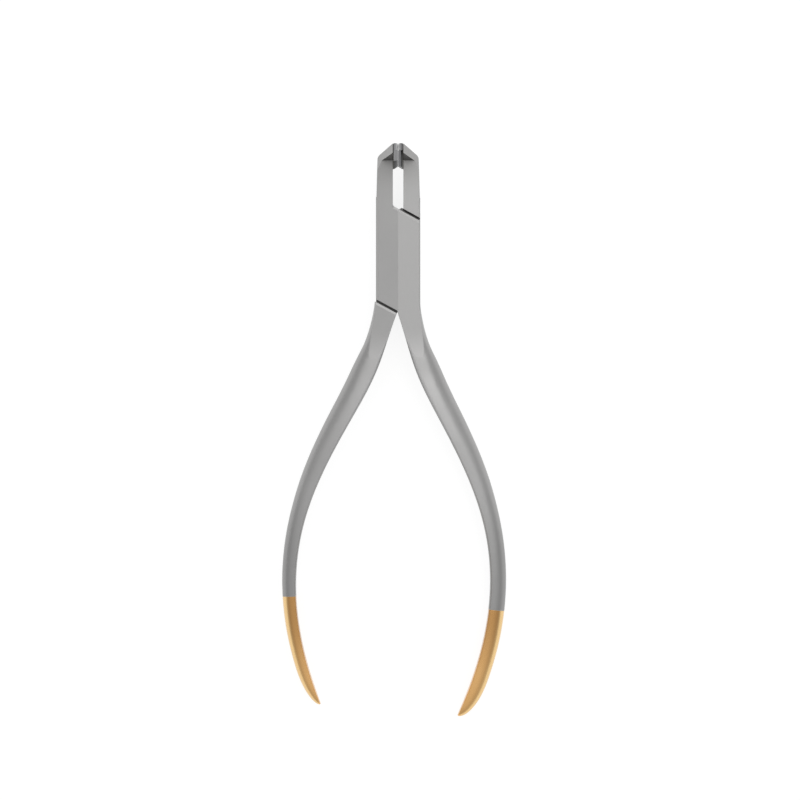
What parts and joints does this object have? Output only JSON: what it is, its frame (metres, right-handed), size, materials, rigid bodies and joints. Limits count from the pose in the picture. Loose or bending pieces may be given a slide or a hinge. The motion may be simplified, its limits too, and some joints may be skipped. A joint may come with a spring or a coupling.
{
  "type": "orthodontic pliers",
  "caption": "Orthodontic wire cutter: crossed lap-jointed steel halves, a forward head with brazed hard-metal cutting inserts, and long bowed handles with gilded ends.",
  "frame": {"origin": "on the joint's axis, at the flat back of the joint, which the pliers lie on", "axes": "+Y towards the tip of the jaws, +Z out of the front, +X to the right as seen from the front"},
  "size_m": [0.0508, 0.1295, 0.0125],
  "materials": {
    "steel": "satin, fine blasted stainless steel",
    "carbide": "dark grey ground hard metal",
    "braze": "dull silver braze",
    "gilding": "satin gold plating"
  },
  "bodies": {
    "back_arm": {"back_half": "steel", "right_cutting_insert": "carbide", "right_braze_seam": "braze", "left_gilded_end": "gilding"},
    "front_arm": {"front_half": "steel", "joint_screw": "steel", "left_cutting_insert": "carbide", "left_braze_seam": "braze", "right_gilded_end": "gilding"}
  },
  "joints": [
    {"name": "jaw_hinge", "type": "hinge", "parent": "back_arm", "child": "front_arm", "pos_m": [0, 0, 0], "axis": [0, 0, 1], "range_deg": [0, 15]}
  ]
}
